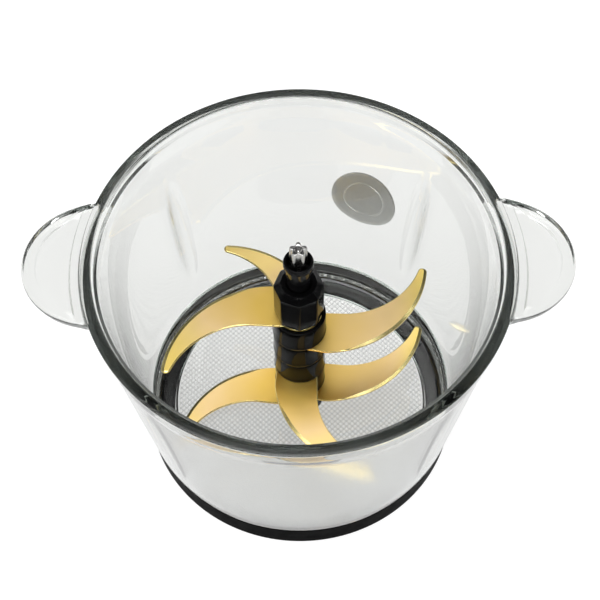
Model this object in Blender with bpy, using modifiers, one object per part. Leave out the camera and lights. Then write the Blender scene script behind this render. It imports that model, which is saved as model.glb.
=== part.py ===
"""Bowl and blade set of a food chopper: a pressed glass bowl with two ear handles on a soft anti-slip
foot ring, a steel spindle through its floor, and a lift-off set of six curved blades on one hub.

Metres, +Z up. The origin is on the spindle's axis, at the height of the surface that the bowl stands on.
The ears lie along X."""

import math

import bmesh
import bpy
from mathutils import Matrix, Vector

MM = 0.001

# ---- driving dimensions, in millimetres -------------------------------------------------------------
# glass bowl
BOWL_HEIGHT = 128.0
RIM_OUTER_R = 90.3
RIM_INNER_R = 85.3
WALL_OUTER_LOW_R = 74.3  # just above the foot ring
WALL_LOW_Z = 16.4
WALL_SLOPE = 0.1345  # the wall's radius grows this much per millimetre of height
WALL_T = 4.5
FLOOR_TOP_Z = 8.0
FLOOR_CORNER_R = 3.0
FOOT_Z = 2.8
FOOT_OUTER_R = 70.8
FOOT_INNER_R = 60.7
RECESS_Z = 3.8  # underside of the floor, inside the foot
POCKET_R = 9.0  # the spindle's seal sits in this pocket of the underside
POCKET_Z = 5.4
FLOOR_HOLE_R = 3.8
# ear handles
EAR_CENTRE_X = 85.0
EAR_R = 30.0
EAR_TOP_Z = 126.6
EAR_T = 5.0
EAR_FILLET_R = 7.0
EAR_ROOT_R = 87.4
EAR_RECESS_R = 24.0
EAR_RECESS_INNER_R = 95.6  # the recess stops on this circle round the bowl's axis
EAR_RECESS_DEPTH = 1.3
# ribs inside the wall, which turn the food back into the blades
RIB_ANGLES = (45, 135, 225, 315)
RIB_LOW_Z, RIB_HIGH_Z = 34.0, 102.0
RIB_HALF_WIDTH = 5.0
RIB_HEIGHT = 2.0
# foot ring
RING_FOOT_R = 73.0
RING_TOP_R = 74.0
RING_TOP_Z = 16.0
RING_FLANGE_R = 61.1
RING_FLANGE_T = 2.4
# plain round badge on the outside of the wall
BADGE_R = 16.6
BADGE_T = 0.7
BADGE_AZIMUTH = 66.5
BADGE_Z = 67.3
# spindle
PIN_R = 3.5
PIN_TOP_Z = 95.4
PIN_FLANGE_R = 6.8
# blade set
BLADE_LEVELS = (85.4, 70.4, 55.4, 40.4, 25.4, 10.4)  # mid-plane of each blade, top to bottom
BLADE_DIRECTIONS = (180, 0, 90, 270, 0, 180)
BLADE_T = 1.2
BLADE_EYE_R = 11.9
BLADE_TIP_R = (2.0, 2.0, 2.0, 2.0, 2.0, 2.7)  # a blunter tip also ends sooner, to clear the floor's corner
BLADE_TURNS = (-0.5, 0.7, 5.6, 3.0, -2.8, -4.4)  # of each arm against its key, in degrees
BLADE_SIZES = (1.0, 1.0, 0.99, 0.96, 0.98, 0.95)
BLADE_OUTER_ARC = (12.0, 34.8, 47.5)  # centre x, y and radius of the long convex edge
BLADE_INNER_ARC = (21.5, 43.7, 36.7)  # the same for the concave edge
CORE_OCT_R = 8.6  # the hub core's octagon, which keys the blades
KEY_OCT_R = 8.95
CORE_FOOT_Z = 8.6
CORE_TOP_Z = 103.2
NUT_R = 11.0
NUT_LOW_Z, NUT_EDGE_Z, NUT_TOP_Z = 86.35, 106.5, 109.0
CUP_TOP_Z = 125.8
CUP_R = 6.5
SPLINE_TOP_Z = 134.3
SPLINE_TIP_R, SPLINE_ROOT_R, SPLINE_LOBES = 3.95, 2.5, 5
SEAT_GAP = 0.25  # between pieces that touch


# ---- helpers ----------------------------------------------------------------------------------------
def clear_scene():
    for obj in list(bpy.data.objects):
        bpy.data.objects.remove(obj, do_unlink=True)


def new_collection(name, hidden=False):
    made = bpy.data.collections.new(name)
    bpy.context.scene.collection.children.link(made)
    made.hide_render = hidden
    return made


def material(name, colour, roughness, metallic=0.0, alpha=1.0, transmission=0.0):
    made = bpy.data.materials.new(name)
    made.use_nodes = True
    shader = made.node_tree.nodes["Principled BSDF"]
    shader.inputs["Base Color"].default_value = (*colour, 1.0)
    shader.inputs["Roughness"].default_value = roughness
    shader.inputs["Metallic"].default_value = metallic
    shader.inputs["Alpha"].default_value = alpha
    shader.inputs["Transmission Weight"].default_value = transmission
    return made


def place(obj, parent=None):
    PIECES.objects.link(obj)
    if parent is not None:
        obj.parent = parent
    return obj


def as_helper(obj):
    """A cutter, or a body that a Boolean joins to a piece."""
    HELPERS.objects.link(obj)
    obj.hide_render = True
    obj.display_type = "WIRE"
    return obj


def signed_area(points):
    return 0.5 * sum(
        a[0] * b[1] - b[0] * a[1] for a, b in zip(points, points[1:] + points[:1])
    )


def turned(name, profile, steps, closed=True, phase=0.0):
    """A turned body from a profile of (radius, height) in millimetres, made by a Screw modifier.
    A closed profile makes a ring; an open one starts and ends on the axis."""
    points = list(profile)
    upward = signed_area(points) > 0 if closed else points[0][1] < points[-1][1]
    if upward:  # the outer side has to run from top to bottom
        points.reverse()
    mesh = bpy.data.meshes.new(name)
    work = bmesh.new()
    turn = Matrix.Rotation(math.radians(phase), 4, "Z")
    verts = [work.verts.new(turn @ Vector((r * MM, 0, z * MM))) for r, z in points]
    pairs = list(zip(verts, verts[1:]))
    if closed:
        pairs.append((verts[-1], verts[0]))
    for a, b in pairs:
        work.edges.new((a, b))
    work.to_mesh(mesh)
    work.free()
    obj = bpy.data.objects.new(name, mesh)
    screw = obj.modifiers.new("Turn", "SCREW")
    screw.axis = "Z"
    screw.angle = 2 * math.pi
    screw.steps = screw.render_steps = steps
    screw.use_merge_vertices = True
    screw.merge_threshold = 0.00001
    screw.use_smooth_shade = True
    screw.use_normal_calculate = False
    return obj


def baked(obj, weld=0.000002):
    """The object as a plain mesh object, its modifiers and curves evaluated."""
    scratch = bpy.context.scene.collection
    if obj.name not in scratch.objects:
        scratch.objects.link(obj)
    bpy.context.view_layer.update()
    evaluated = obj.evaluated_get(bpy.context.evaluated_depsgraph_get())
    mesh = bpy.data.meshes.new_from_object(evaluated)
    work = bmesh.new()
    work.from_mesh(mesh)
    bmesh.ops.remove_doubles(work, verts=work.verts, dist=weld)
    bmesh.ops.recalc_face_normals(work, faces=work.faces)
    work.to_mesh(mesh)
    work.free()
    made = bpy.data.objects.new(obj.name + "_mesh", mesh)
    made.matrix_world = obj.matrix_world.copy()
    name = obj.name
    bpy.data.objects.remove(obj, do_unlink=True)
    made.name = name
    return made


def outline(name, loops, low_z, high_z):
    """A flat outline with holes, as a filled 2D curve extruded between two heights in millimetres."""
    curve = bpy.data.curves.new(name, "CURVE")
    curve.dimensions = "2D"
    curve.fill_mode = "BOTH"
    curve.extrude = 0.5 * (high_z - low_z) * MM
    for loop in loops:
        spline = curve.splines.new("POLY")
        spline.points.add(len(loop) - 1)
        for point, (x, y) in zip(spline.points, loop):
            point.co = (x * MM, y * MM, 0.0, 1.0)
        spline.use_cyclic_u = True
    obj = bpy.data.objects.new(name, curve)
    obj.location.z = 0.5 * (low_z + high_z) * MM
    return obj


def boolean(obj, helper, operation):
    cut = obj.modifiers.new(operation.title(), "BOOLEAN")
    cut.operation = operation
    cut.solver = "EXACT"
    cut.object = helper
    return obj


def smooth(obj, angle=35.0):
    obj.data.shade_smooth()
    obj.data.set_sharp_from_angle(angle=math.radians(angle))
    return obj


def arc(cx, cy, r, start, end, count):
    """Points on an arc, angles in degrees."""
    return [
        (
            cx + r * math.cos(math.radians(start + (end - start) * i / count)),
            cy + r * math.sin(math.radians(start + (end - start) * i / count)),
        )
        for i in range(count + 1)
    ]


def polygon(r, sides, phase=0.0):
    return arc(0, 0, r, phase, phase + 360.0 * (sides - 1) / sides, sides - 1)


def meeting(ax, ay, ar, bx, by, br, side):
    """Where two circles meet; side picks which of the two points."""
    dx, dy = bx - ax, by - ay
    d = math.hypot(dx, dy)
    along = (ar * ar - br * br + d * d) / (2 * d)
    across = math.sqrt(max(ar * ar - along * along, 0.0)) * side
    return (
        ax + (along * dx - across * dy) / d,
        ay + (along * dy + across * dx) / d,
    )


def wall_outer(z):
    return WALL_OUTER_LOW_R + WALL_SLOPE * (z - WALL_LOW_Z)


def wall_inner(z):
    return wall_outer(z) - WALL_T


def angle_of(cx, cy, point):
    return math.degrees(math.atan2(point[1] - cy, point[0] - cx))


# ---- the bowl ---------------------------------------------------------------------------------------
def bowl_profile():
    """The glass wall's section, once round: up the outside, over the lip, down the inside."""
    points = [
        (FLOOR_HOLE_R, POCKET_Z),
        (POCKET_R - 0.4, POCKET_Z),
        (POCKET_R, POCKET_Z - 0.4),
        (POCKET_R + 0.3, RECESS_Z),
        (FOOT_INNER_R - 1.2, RECESS_Z),
        (FOOT_INNER_R - 0.2, FOOT_Z),
        (FOOT_OUTER_R - 2.2, FOOT_Z),
        (FOOT_OUTER_R - 0.6, FOOT_Z + 0.7),
        (FOOT_OUTER_R, FOOT_Z + 2.4),
        (FOOT_OUTER_R + 0.2, WALL_LOW_Z - 0.3),
        (FOOT_OUTER_R + 0.6, WALL_LOW_Z),
        (WALL_OUTER_LOW_R - 0.9, WALL_LOW_Z),
        (WALL_OUTER_LOW_R - 0.1, WALL_LOW_Z + 0.5),
        (wall_outer(WALL_LOW_Z + 1.8) + 0.05, WALL_LOW_Z + 1.8),
        (wall_outer(60), 60),
        (wall_outer(100), 100),
        (wall_outer(112), 112),
        (wall_outer(115.5) + 0.2, 115.5),
        (RIM_OUTER_R - 0.6, 121.5),
        (RIM_OUTER_R - 0.04, BOWL_HEIGHT - 0.45),
        (RIM_OUTER_R - 0.15, BOWL_HEIGHT - 0.12),
        (RIM_OUTER_R - 0.45, BOWL_HEIGHT),
        (RIM_INNER_R + 1.8, BOWL_HEIGHT),
        (RIM_INNER_R + 0.75, BOWL_HEIGHT - 0.3),
        (RIM_INNER_R + 0.05, BOWL_HEIGHT - 1.0),
        (RIM_INNER_R - 0.3, BOWL_HEIGHT - 1.9),
        (RIM_INNER_R - 0.57, BOWL_HEIGHT - 2.5),
        (wall_inner(117.5), BOWL_HEIGHT - 3.4),
        (wall_inner(117.5), 117.5),
        (wall_inner(70), 70),
    ]
    centre_z = FLOOR_TOP_Z + FLOOR_CORNER_R
    tilt = math.degrees(math.atan(WALL_SLOPE))
    corner_x = wall_inner(centre_z) - FLOOR_CORNER_R / math.cos(math.radians(tilt))
    points += arc(corner_x, centre_z, FLOOR_CORNER_R, -tilt, -90, 6)
    points.append((FLOOR_HOLE_R, FLOOR_TOP_Z))
    return points


def ear_outline():
    """One ear seen from above, for +X: a round tab, filleted into the lip."""
    rim = RIM_OUTER_R - 0.6
    f = EAR_FILLET_R
    fx, fy = meeting(0, 0, rim + f, EAR_CENTRE_X, 0, EAR_R + f, 1)
    on_rim = (fx * rim / (rim + f), fy * rim / (rim + f))
    on_ear = (
        EAR_CENTRE_X + (fx - EAR_CENTRE_X) * EAR_R / (EAR_R + f),
        fy * EAR_R / (EAR_R + f),
    )
    start = angle_of(fx, fy, on_rim)
    end = angle_of(fx, fy, on_ear)
    if start < 0:
        start += 360
    if end < 0:
        end += 360
    fillet = arc(fx, fy, f, start, end, 5)
    sweep = angle_of(EAR_CENTRE_X, 0, on_ear)
    tab = arc(EAR_CENTRE_X, 0, EAR_R, sweep, -sweep, 22)
    lower = [(x, -y) for x, y in reversed(fillet)]
    root = angle_of(0, 0, on_rim)
    inside = arc(0, 0, EAR_ROOT_R, -root, root, 8)
    return fillet + tab[1:-1] + lower + inside


def ear_recess_outline():
    inner, outer = EAR_RECESS_INNER_R, EAR_RECESS_R
    corner = meeting(0, 0, inner, EAR_CENTRE_X, 0, outer, 1)
    far = angle_of(EAR_CENTRE_X, 0, corner)
    near = angle_of(0, 0, corner)
    return arc(EAR_CENTRE_X, 0, outer, far, -far, 16) + arc(0, 0, inner, -near, near, 8)[1:-1]


def mirrored_x(loop):
    return [(-x, y) for x, y in reversed(loop)]


def rib(angle):
    """A long low bump on the inside of the wall."""
    mesh = bpy.data.meshes.new("rib")
    work = bmesh.new()
    bmesh.ops.create_uvsphere(work, u_segments=12, v_segments=10, radius=1.0)
    work.to_mesh(mesh)
    work.free()
    obj = bpy.data.objects.new("rib_%d" % angle, mesh)
    mid_z = 0.5 * (RIB_LOW_Z + RIB_HIGH_Z)
    lean = math.atan(WALL_SLOPE)
    half = 0.5 * (RIB_HIGH_Z - RIB_LOW_Z) / math.cos(lean)
    depth = RIB_HEIGHT + 1.0
    obj.matrix_world = (
        Matrix.Rotation(math.radians(angle), 4, "Z")
        @ Matrix.Translation(Vector((wall_inner(mid_z) + 1.0, 0, mid_z)) * MM)
        @ Matrix.Rotation(lean, 4, "Y")
        @ Matrix.Diagonal((depth * MM, RIB_HALF_WIDTH * MM, half * MM, 1.0))
    )
    return obj


def make_bowl():
    bowl = baked(turned("glass_bowl", bowl_profile(), 60))
    place(bowl)
    for side, name in ((1, "right"), (-1, "left")):
        tab = ear_outline() if side > 0 else mirrored_x(ear_outline())
        dip = ear_recess_outline() if side > 0 else mirrored_x(ear_recess_outline())
        ear = baked(outline("ear_%s" % name, [tab], EAR_TOP_Z - EAR_T, EAR_TOP_Z))
        edges = ear.modifiers.new("Round", "BEVEL")
        edges.width = 0.0009
        edges.segments = 2
        edges.limit_method = "ANGLE"
        edges.angle_limit = math.radians(60)
        boolean(bowl, as_helper(ear), "UNION")
        cut = baked(
            outline("ear_recess_%s" % name, [dip], EAR_TOP_Z - EAR_RECESS_DEPTH, EAR_TOP_Z + 3)
        )
        boolean(bowl, as_helper(cut), "DIFFERENCE")
    for angle in RIB_ANGLES:
        bump = rib(angle)
        boolean(bowl, as_helper(bump), "UNION")
    smooth(bowl)
    bowl.data.materials.append(GLASS)
    return bowl


def make_foot_ring():
    t = RING_FLANGE_T
    profile = [
        (RING_FLANGE_R + 0.5, 0.0),
        (RING_FOOT_R - 1.2, 0.0),
        (RING_FOOT_R - 0.3, 0.35),
        (RING_FOOT_R, 1.2),
        (RING_TOP_R, RING_TOP_Z - 0.8),
        (RING_TOP_R - 0.6, RING_TOP_Z),
        (FOOT_OUTER_R + 0.9, RING_TOP_Z),
        (FOOT_OUTER_R + 0.5, RING_TOP_Z - 0.5),
        (FOOT_OUTER_R + 0.35, FOOT_Z + 2.5),
        (FOOT_OUTER_R - 0.2, FOOT_Z + 0.4),
        (FOOT_OUTER_R - 1.8, t),
        (RING_FLANGE_R, t),
        (RING_FLANGE_R, 0.5),
    ]
    ring = place(turned("base_ring", profile, 60))
    ring.data.materials.append(SILICONE)
    return ring


def make_badge():
    low, high = BADGE_Z - 26, BADGE_Z + 26
    inner = 0.3
    shell = baked(
        turned(
            "wall_badge",
            [
                (wall_outer(low) + inner, low),
                (wall_outer(low) + inner + BADGE_T, low),
                (wall_outer(high) + inner + BADGE_T, high),
                (wall_outer(high) + inner, high),
            ],
            90,
        )
    )
    place(shell)
    mesh = bpy.data.meshes.new("badge_outline")
    work = bmesh.new()
    bmesh.ops.create_cone(
        work,
        cap_ends=True,
        segments=36,
        radius1=BADGE_R * MM,
        radius2=BADGE_R * MM,
        depth=20 * MM,
    )
    work.to_mesh(mesh)
    work.free()
    punch = bpy.data.objects.new("badge_outline", mesh)
    punch.matrix_world = (
        Matrix.Rotation(math.radians(BADGE_AZIMUTH), 4, "Z")
        @ Matrix.Translation(Vector((wall_outer(BADGE_Z), 0, BADGE_Z)) * MM)
        @ Matrix.Rotation(math.radians(90) + math.atan(WALL_SLOPE), 4, "Y")
    )
    boolean(shell, as_helper(punch), "INTERSECT")
    smooth(shell)
    shell.data.materials.append(BADGE)
    return shell


# ---- the spindle and its seal -----------------------------------------------------------------------
def make_spindle():
    flange_low = FLOOR_TOP_Z + 0.95
    flange_high = flange_low + 1.5
    shank = 3.1
    end_z = POCKET_Z - 0.85
    profile = [
        (0.0, PIN_TOP_Z),
        (1.6, PIN_TOP_Z - 0.25),
        (2.8, PIN_TOP_Z - 1.0),
        (PIN_R, PIN_TOP_Z - 2.4),
        (PIN_R, flange_high + 0.5),
        (PIN_R + 0.4, flange_high),
        (PIN_FLANGE_R - 0.3, flange_high),
        (PIN_FLANGE_R, flange_high - 0.3),
        (PIN_FLANGE_R, flange_low),
        (shank, flange_low),
        (shank, end_z),
        (1.95, end_z),
        (1.95, 16.0),
        (0.0, 17.1),
    ]
    pin = place(turned("center_pin", profile, 24, closed=False))
    pin.data.materials.append(STEEL)

    def washer(name, inner, outer, low, high, mat, edge=0.12):
        obj = place(
            turned(
                name,
                [
                    (inner, low),
                    (outer - edge, low),
                    (outer, low + edge),
                    (outer, high - edge),
                    (outer - edge, high),
                    (inner, high),
                ],
                24,
            )
        )
        obj.data.materials.append(mat)
        return obj

    washer("pin_gasket_upper", 3.45, 6.9, FLOOR_TOP_Z + 0.2, flange_low - 0.2, RUBBER)
    low_top = POCKET_Z - 0.2
    washer("pin_gasket_lower", 3.45, 8.3, low_top - 0.75, low_top, RUBBER)
    washer("pin_washer", 2.3, 7.9, low_top - 1.7, low_top - 0.95, STEEL)

    head_top = low_top - 1.9
    head_low = head_top - 2.0
    profile = [
        (0.0, 13.8),
        (1.2, 13.5),
        (1.6, 12.8),
        (1.6, head_top),
        (3.7, head_top),
        (3.9, head_top - 0.3),
        (3.8, head_top - 1.1),
        (3.2, head_low + 0.25),
        (2.4, head_low),
        (0.0, head_low),
    ]
    screw = baked(turned("pin_screw", profile, 24, closed=False))
    place(screw)
    for i, (sx, sy) in enumerate(((4.2, 0.9), (0.9, 4.2))):
        mesh = bpy.data.meshes.new("recess")
        work = bmesh.new()
        bmesh.ops.create_cube(work, size=1.0)
        work.to_mesh(mesh)
        work.free()
        bar = bpy.data.objects.new("screw_recess_%d" % i, mesh)
        bar.matrix_world = Matrix.Translation(
            Vector((0, 0, head_low - 0.1)) * MM
        ) @ Matrix.Diagonal((sx * MM, sy * MM, 2.4 * MM, 1.0))
        boolean(screw, as_helper(bar), "DIFFERENCE")
    smooth(screw)
    screw.data.materials.append(STEEL)


# ---- the blade set ----------------------------------------------------------------------------------
def blade_outline(tip_r, size, turn):
    """One arm with its eye, for an arm that starts out along +X and sweeps towards +Y."""
    ox, oy, orr = (size * v for v in BLADE_OUTER_ARC)
    ix, iy, irr = (size * v for v in BLADE_INNER_ARC)
    tip = meeting(ox, oy, orr - tip_r, ix, iy, irr + tip_r, -1)
    outer_end = angle_of(ox, oy, tip)
    inner_end = angle_of(ix, iy, tip)
    convex = arc(ox, oy, orr, -90, outer_end, 13)
    cap = arc(tip[0], tip[1], tip_r, outer_end, inner_end + 180, 6)[1:-1]
    concave = arc(ix, iy, irr, inner_end, -90, 10)
    root_y = iy - irr + 0.4
    root = math.degrees(math.asin(root_y / BLADE_EYE_R))
    eye = arc(0, 0, BLADE_EYE_R, root, 270, 18)
    c, s = math.cos(math.radians(turn)), math.sin(math.radians(turn))
    return [(c * x - s * y, s * x + c * y) for x, y in convex + cap + concave + eye]


def make_blades(carrier):
    made = []
    for i, (z, turn, tip_r, size, off) in enumerate(
        zip(BLADE_LEVELS, BLADE_DIRECTIONS, BLADE_TIP_R, BLADE_SIZES, BLADE_TURNS), 1
    ):
        blade = outline(
            "blade_%d" % i,
            [blade_outline(tip_r, size, off), polygon(KEY_OCT_R, 8)],
            -0.5 * BLADE_T,
            0.5 * BLADE_T,
        )
        blade.location = (0, 0, z * MM)
        blade.rotation_euler = (0, 0, math.radians(turn))
        place(blade, carrier)
        blade.data.materials.append(GOLD)
        made.append(blade)
    return made


def make_hub(carrier):
    # core: a keyed octagon with a threaded round top, a foot under the last blade, and a stepped bore
    foot_high = BLADE_LEVELS[-1] - 0.5 * BLADE_T - SEAT_GAP
    octagon_top = NUT_LOW_Z - 0.4
    core = baked(
        turned(
            "hub_core",
            [(0, octagon_top), (CORE_OCT_R, octagon_top), (CORE_OCT_R, foot_high - 0.4), (0, foot_high - 0.4)],
            8,
            closed=False,
        )
    )
    place(core, carrier)
    top = baked(
        turned(
            "core_thread",
            [
                (0, CORE_TOP_Z),
                (7.3, CORE_TOP_Z),
                (7.9, CORE_TOP_Z - 0.6),
                (7.9, octagon_top - 8),
                (0, octagon_top - 8),
            ],
            24,
            closed=False,
        )
    )
    boolean(core, as_helper(top), "UNION")
    foot = baked(
        turned(
            "core_foot",
            [
                (0, foot_high),
                (11.2, foot_high),
                (11.5, foot_high - 0.3),
                (11.3, CORE_FOOT_Z),
                (0, CORE_FOOT_Z),
            ],
            24,
            closed=False,
        )
    )
    boolean(core, as_helper(foot), "UNION")
    bore = baked(
        turned(
            "core_bore",
            [
                (0, CORE_TOP_Z + 2),
                (6.05, CORE_TOP_Z + 2),
                (6.05, 84.0),
                (4.7, 84.0),
                (4.7, 22.0),
                (6.05, 22.0),
                (6.05, 11.6),
                (7.5, 11.6),
                (7.5, CORE_FOOT_Z - 2),
                (0, CORE_FOOT_Z - 2),
            ],
            24,
            closed=False,
        )
    )
    boolean(core, as_helper(bore), "DIFFERENCE")
    socket = baked(
        turned(
            "core_socket",
            [(0, CORE_TOP_Z + 3), (6.75, CORE_TOP_Z + 3), (6.75, 95.7), (0, 95.7)],
            8,
            closed=False,
        )
    )
    boolean(core, as_helper(socket), "DIFFERENCE")
    smooth(core)
    core.data.materials.append(BLACK)

    # spacers between the blades, a little slimmer towards the foot
    for i, (upper, lower) in enumerate(zip(BLADE_LEVELS, BLADE_LEVELS[1:]), 1):
        high = upper - 0.5 * BLADE_T - SEAT_GAP
        low = lower + 0.5 * BLADE_T + SEAT_GAP
        top_r = 11.95 - 0.09 * i
        spacer = place(
            turned(
                "spacer_%d" % i,
                [
                    (KEY_OCT_R, low),
                    (top_r - 0.15, low),
                    (top_r + 0.15, low + 0.35),
                    (top_r, low + 1.3),
                    (top_r - 0.1, high - 0.5),
                    (top_r - 0.4, high),
                    (KEY_OCT_R, high),
                ],
                28,
            ),
            carrier,
        )
        spacer.data.materials.append(BLACK)

    # octagonal clamp nut: its round bore takes the core's thread, its top hole the drive collar's neck
    nut = baked(
        turned(
            "clamp_nut",
            [
                (0, NUT_TOP_Z),
                (7.2, NUT_TOP_Z),
                (8.0, NUT_TOP_Z - 0.5),
                (NUT_R, NUT_EDGE_Z),
                (NUT_R, NUT_LOW_Z + 0.3),
                (NUT_R - 0.4, NUT_LOW_Z),
                (0, NUT_LOW_Z),
            ],
            8,
            closed=False,
        )
    )
    place(nut, carrier)
    cavity = baked(
        turned(
            "nut_bore",
            [
                (0, NUT_TOP_Z + 2),
                (5.45, NUT_TOP_Z + 2),
                (5.45, NUT_EDGE_Z - 0.2),
                (8.3, NUT_EDGE_Z - 0.2),
                (8.3, NUT_LOW_Z - 2),
                (0, NUT_LOW_Z - 2),
            ],
            24,
            closed=False,
        )
    )
    boolean(nut, as_helper(cavity), "DIFFERENCE")
    nut.data.materials.append(BLACK)

    # drive collar: a cup on a waisted neck, a flange caught under the nut, an octagonal plug in the core
    cup_floor = 119.4
    collar = baked(
        turned(
            "drive_collar",
            [
                (0, cup_floor),
                (4.7, cup_floor),
                (5.1, cup_floor + 0.5),
                (5.1, CUP_TOP_Z - 0.3),
                (5.3, CUP_TOP_Z),
                (CUP_R - 0.7, CUP_TOP_Z),
                (CUP_R - 0.2, CUP_TOP_Z - 0.5),
                (CUP_R, CUP_TOP_Z - 1.3),
                (CUP_R, CUP_TOP_Z - 2.5),
                (CUP_R - 0.5, CUP_TOP_Z - 3.2),
                (5.15, 113.0),
                (5.1, 109.4),
                (5.1, 106.0),
                (7.9, 106.0),
                (7.9, CORE_TOP_Z + 0.3),
                (0, CORE_TOP_Z + 0.3),
            ],
            28,
            closed=False,
        )
    )
    place(collar, carrier)
    plug = baked(
        turned(
            "collar_plug",
            [(0, CORE_TOP_Z + 1.2), (6.4, CORE_TOP_Z + 1.2), (6.4, 96.6), (0, 96.6)],
            8,
            closed=False,
        )
    )
    boolean(collar, as_helper(plug), "UNION")
    hexagon = baked(
        turned(
            "collar_hex",
            [(0, cup_floor + 3), (3.45, cup_floor + 3), (3.45, 94), (0, 94)],
            6,
            closed=False,
        )
    )
    boolean(collar, as_helper(hexagon), "DIFFERENCE")
    smooth(collar)
    collar.data.materials.append(BLACK)

    # splined drive tip on a hexagonal shank
    count = SPLINE_LOBES * 12
    mid = 0.5 * (SPLINE_TIP_R + SPLINE_ROOT_R)
    swing = 0.5 * (SPLINE_TIP_R - SPLINE_ROOT_R)
    loop = []
    for i in range(count):
        a = 2 * math.pi * i / count
        wave = math.cos(SPLINE_LOBES * (a - math.pi / 2))
        r = mid + swing * math.copysign(abs(wave) ** 0.8, wave)
        loop.append((r * math.cos(a), r * math.sin(a)))
    spline = baked(outline("drive_spline", [loop], cup_floor + 0.3, SPLINE_TOP_Z))
    place(spline, carrier)
    shank = baked(
        turned(
            "spline_shank",
            [(0, cup_floor + 2), (3.05, cup_floor + 2), (3.05, 97.2), (2.7, 96.8), (0, 96.8)],
            6,
            closed=False,
        )
    )
    boolean(spline, as_helper(shank), "UNION")
    smooth(spline)
    spline.data.materials.append(STEEL)


def make_bushes(carrier):
    for name, low, high in (("lower_bush", 10.75, 21.7), ("upper_bush", 84.3, 94.6)):
        bush = place(
            turned(
                name,
                [
                    (3.8, low + 0.2),
                    (4.0, low),
                    (5.5, low),
                    (5.75, low + 0.25),
                    (5.75, high - 0.25),
                    (5.5, high),
                    (4.0, high),
                    (3.8, high - 0.2),
                ],
                24,
            ),
            carrier,
        )
        bush.data.materials.append(BRONZE)


# ---- assembly ---------------------------------------------------------------------------------------
clear_scene()
PIECES = new_collection("food_chopper_bowl")
HELPERS = new_collection("cutters", hidden=True)

GLASS = material("clear_glass", (0.93, 0.95, 0.93), 0.02, alpha=0.35, transmission=1.0)
SILICONE = material("black_silicone", (0.012, 0.012, 0.013), 0.45)
BADGE = material("grey_badge", (0.33, 0.34, 0.33), 0.5)
STEEL = material("stainless_steel", (0.62, 0.61, 0.6), 0.25, metallic=1.0)
RUBBER = material("seal_rubber", (0.35, 0.35, 0.34), 0.6)
GOLD = material("gold_coated_steel", (0.78, 0.55, 0.19), 0.22, metallic=1.0)
BLACK = material("gloss_black_plastic", (0.008, 0.008, 0.009), 0.12)
BRONZE = material("sintered_bronze", (0.45, 0.3, 0.14), 0.35, metallic=1.0)

make_bowl()
make_foot_ring()
make_badge()
make_spindle()

lift = bpy.data.objects.new("blade_set_axis", None)
PIECES.objects.link(lift)
make_bushes(lift)
make_hub(lift)
make_blades(lift)
bpy.context.view_layer.update()
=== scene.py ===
"""Looks of the chopper bowl and its blade set: fine meshes, procedural materials, studio and camera.

Lengths in the shape code are millimetres in the part's own frame (+Z up, ears along X), turned into metres
when a mesh is made."""

import math

import bmesh
import bpy
import numpy as np
from mathutils import Matrix, Vector
from mathutils.geometry import delaunay_2d_cdt


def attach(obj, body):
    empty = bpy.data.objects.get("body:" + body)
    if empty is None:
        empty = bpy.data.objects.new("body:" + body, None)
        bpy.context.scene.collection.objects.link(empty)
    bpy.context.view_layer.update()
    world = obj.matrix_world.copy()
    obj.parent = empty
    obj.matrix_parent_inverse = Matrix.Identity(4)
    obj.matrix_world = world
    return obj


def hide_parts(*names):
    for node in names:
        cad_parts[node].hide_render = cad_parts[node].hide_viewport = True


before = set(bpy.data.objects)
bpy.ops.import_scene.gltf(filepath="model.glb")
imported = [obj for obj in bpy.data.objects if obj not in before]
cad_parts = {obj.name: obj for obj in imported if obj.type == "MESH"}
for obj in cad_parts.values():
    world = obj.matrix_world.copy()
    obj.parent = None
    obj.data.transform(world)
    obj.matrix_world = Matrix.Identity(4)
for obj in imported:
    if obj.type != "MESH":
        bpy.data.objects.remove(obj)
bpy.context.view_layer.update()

MM = 0.001
TAU = 2 * math.pi

# ---- sizes shared with the part, in millimetres ------------------------------------------------------
RIM_OUT, RIM_IN, RIM_TOP = 90.3, 85.3, 128.0
WALL_LOW_R, WALL_LOW_Z, WALL_SLOPE, WALL_T = 74.3, 16.4, 0.1345, 4.5
FLOOR_TOP, RECESS_Z, FOOT_Z = 8.0, 3.8, 2.8
EAR_X, EAR_R, EAR_TOP, EAR_T = 85.0, 30.0, 126.6, 5.0
BLADE_LEVELS = (85.4, 70.4, 55.4, 40.4, 25.4, 10.4)
BLADE_DIRECTIONS = (180, 0, 90, 270, 0, 180)
BLADE_OUTER_ARC = (12.0, 34.8, 47.5)
BLADE_INNER_ARC = (21.5, 43.7, 36.7)
BLADE_TURNS = (-0.5, 0.7, 5.6, 3.0, -2.8, -4.4)
BLADE_SIZES = (1.0, 1.0, 0.99, 0.96, 0.98, 0.95)
BLADE_EYE_R = 10.05
BLADE_TIP_R = (2.0, 2.0, 2.0, 2.0, 2.0, 2.7)
BLADE_T = 1.2
KEY_R = 8.95
BADGE_AZ, BADGE_Z, BADGE_R, BADGE_T = 66.5, 67.3, 16.6, 0.7
BUMP_PITCH, BUMP_HEIGHT = 1.95, 0.46  # of the pattern under the floor


def wall_outer(z):
    return WALL_LOW_R + WALL_SLOPE * (z - WALL_LOW_Z)


def wall_inner(z):
    return wall_outer(z) - WALL_T


def smoothstep(x):
    x = np.clip(x, 0.0, 1.0)
    return x * x * (3 - 2 * x)


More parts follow.
